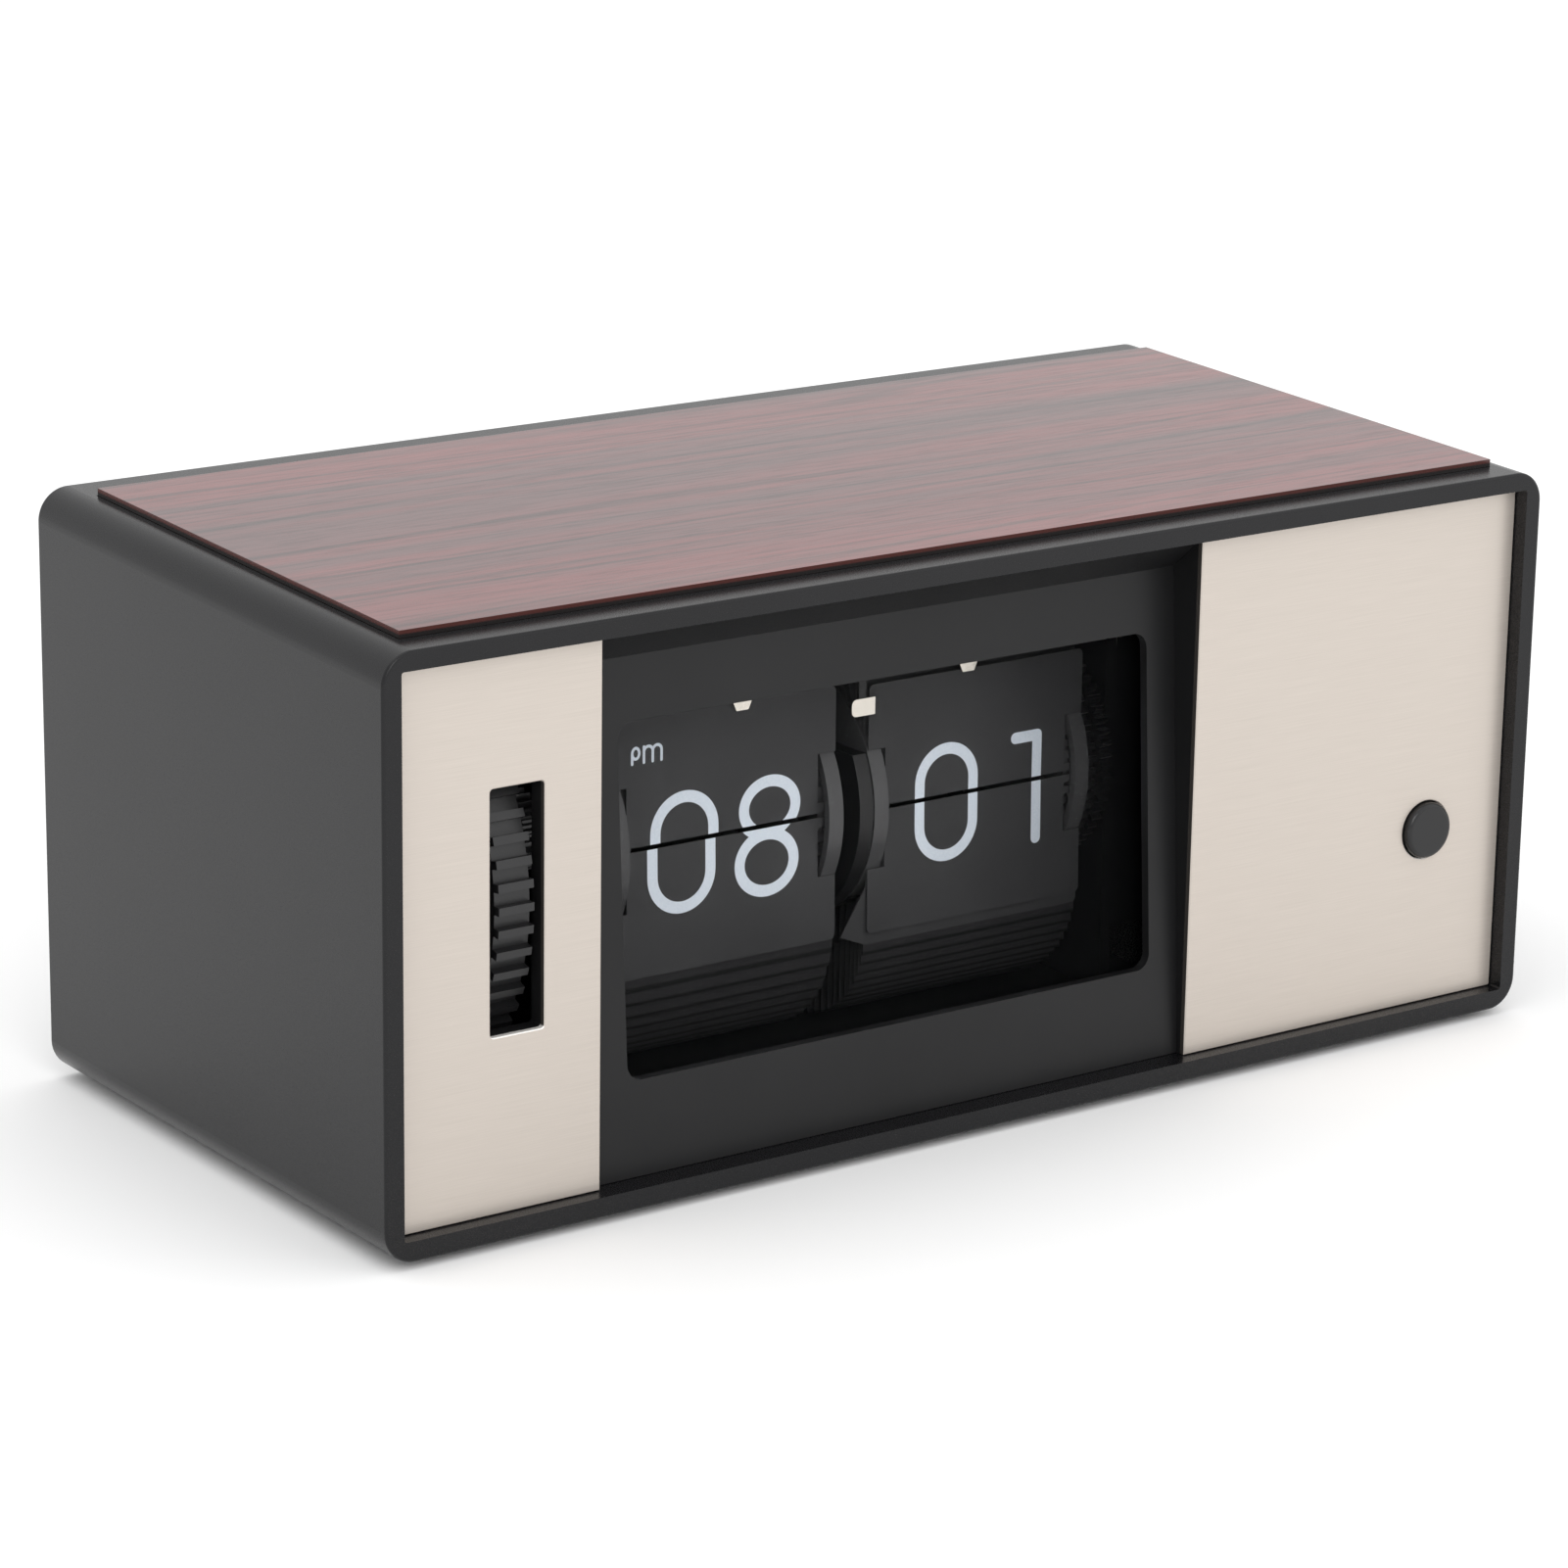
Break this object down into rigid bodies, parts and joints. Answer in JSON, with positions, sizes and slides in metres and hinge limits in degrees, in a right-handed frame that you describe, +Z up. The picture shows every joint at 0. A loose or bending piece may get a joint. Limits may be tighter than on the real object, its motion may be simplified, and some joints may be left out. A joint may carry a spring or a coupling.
{
  "type": "flip clock",
  "caption": "Box-shaped table flip clock with wood-look top, brushed metal front plates, thumbwheel, push button and two geared card drums that show hours and minutes behind a clear window.",
  "frame": {"origin": "middle of the case's footprint on the surface the feet stand on", "axes": "+X to the viewer's right along the front, +Y from the front to the back, +Z up"},
  "size_m": [0.2146, 0.1006, 0.0949],
  "materials": {
    "case_plastic": "fine matte texture",
    "bezel_plastic": "fine matte texture",
    "foot_rubber": "matte",
    "rosewood_laminate": "satin",
    "champagne_metal": "brushed along X",
    "clear_window": "polished",
    "wheel_plastic": "moulded",
    "button_plastic": "semi gloss",
    "card_plastic": "matte",
    "drum_plastic": "moulded",
    "gear_plastic": "moulded",
    "toothed_ring_plastic": "moulded",
    "frame_plastic": "moulded",
    "spring_steel": "bright",
    "shaft_steel": "ground",
    "motor_can": "zinc plated",
    "circuit_board": "paper laminate",
    "screw_steel": "blackened",
    "battery_wrap": "semi gloss",
    "contact_brass": "plated"
  },
  "bodies": {
    "case": {"case_shell": "case_plastic", "rubber_feet": "foot_rubber", "wood_top_board": "rosewood_laminate", "left_metal_plate": "champagne_metal", "right_metal_plate": "champagne_metal", "front_fascia": "bezel_plastic", "window_lens": "clear_window", "switch_board": "circuit_board", "switch_leaf": "contact_brass", "switch_contact": "contact_brass", "movement_base": "frame_plastic", "left_bearing_plate": "frame_plastic", "right_bearing_plate": "frame_plastic", "centre_bearing_plate": "frame_plastic", "thumbwheel_bracket": "frame_plastic", "thumbwheel_axle": "shaft_steel", "cross_bar": "frame_plastic", "transfer_axle": "shaft_steel", "motor": "motor_can", "minute_lower_flap": "card_plastic", "minute_waiting_cards": "card_plastic", "minute_fallen_cards": "card_plastic", "hour_lower_flap": "card_plastic", "hour_waiting_cards": "card_plastic", "hour_fallen_cards": "card_plastic", "carry_card": "card_plastic", "minute_retaining_spring": "spring_steel", "hour_retaining_spring": "spring_steel", "lever_bracket": "frame_plastic", "rear_cover": "case_plastic", "rear_cover_screws": "screw_steel", "battery_box": "frame_plastic", "battery_cell": "battery_wrap", "battery_negative_contact": "contact_brass", "battery_positive_contact": "contact_brass"},
    "minute_drum": {"main_shaft": "shaft_steel", "minute_hub": "drum_plastic", "minute_left_disc": "drum_plastic", "minute_right_disc": "drum_plastic", "clutch_ring": "toothed_ring_plastic", "drive_wheel": "toothed_ring_plastic", "setting_gear": "gear_plastic", "shaft_pinion": "gear_plastic"},
    "hour_drum": {"hour_hub": "drum_plastic", "hour_left_disc": "drum_plastic", "hour_right_disc": "drum_plastic", "hour_wheel": "gear_plastic"},
    "thumbwheel": {"thumbwheel": "wheel_plastic", "thumbwheel_gear": "gear_plastic"},
    "transfer_gear": {"transfer_gear": "gear_plastic"},
    "motor_pinion": {"motor_pinion": "shaft_steel"},
    "minute_top_flap": {"minute_top_flap": "card_plastic"},
    "hour_top_flap": {"hour_top_flap": "card_plastic"},
    "carry_lever": {"carry_lever": "frame_plastic", "lever_tip": "spring_steel"},
    "push_button": {"push_button": "button_plastic"},
    "battery_door": {"battery_door": "case_plastic"}
  },
  "joints": [
    {"name": "minute_drum_spin", "type": "hinge", "parent": "case", "child": "minute_drum", "pos_m": [0, -0.00305, 0.0444], "axis": [1, 0, 0], "continuous": true},
    {"name": "hour_drum_spin", "type": "hinge", "parent": "case", "child": "hour_drum", "pos_m": [0, -0.00305, 0.0444], "axis": [1, 0, 0], "continuous": true},
    {"name": "thumbwheel_spin", "type": "hinge", "parent": "case", "child": "thumbwheel", "pos_m": [0, -0.01386, 0.0496], "axis": [1, 0, 0], "continuous": true},
    {"name": "transfer_gear_spin", "type": "hinge", "parent": "case", "child": "transfer_gear", "pos_m": [0, 0.01129, 0.03436], "axis": [1, 0, 0], "continuous": true},
    {"name": "motor_pinion_spin", "type": "hinge", "parent": "case", "child": "motor_pinion", "pos_m": [0, 0.0118, 0.05925], "axis": [1, 0, 0], "continuous": true},
    {"name": "minute_flap_fall", "type": "hinge", "parent": "case", "child": "minute_top_flap", "pos_m": [0, -0.02101, 0.04559], "axis": [1, 0, 0], "range_deg": [0, 170], "deforming": ["minute_retaining_spring"]},
    {"name": "hour_flap_fall", "type": "hinge", "parent": "case", "child": "hour_top_flap", "pos_m": [0, -0.02093, 0.04647], "axis": [1, 0, 0], "range_deg": [0, 170], "deforming": ["hour_retaining_spring"]},
    {"name": "carry_lever_swing", "type": "hinge", "parent": "case", "child": "carry_lever", "pos_m": [0, -0.02225, 0.0712], "axis": [1, 0, 0], "range_deg": [0, 15]},
    {"name": "push_button_press", "type": "slide", "parent": "case", "child": "push_button", "axis": [0, 1, 0], "range_m": [0, 0.0008], "stiffness_N_per_m": 300, "deforming": ["switch_leaf"]},
    {"name": "battery_door_off", "type": "slide", "parent": "case", "child": "battery_door", "axis": [0, 1, 0], "range_m": [0, 0.03]}
  ],
  "couplings": [
    {"joint": "thumbwheel_spin", "follows": "minute_drum_spin", "ratio": -1},
    {"joint": "transfer_gear_spin", "follows": "minute_drum_spin", "ratio": -0.25},
    {"joint": "hour_drum_spin", "follows": "minute_drum_spin", "ratio": 0.041667},
    {"joint": "motor_pinion_spin", "follows": "minute_drum_spin", "ratio": -6}
  ]
}
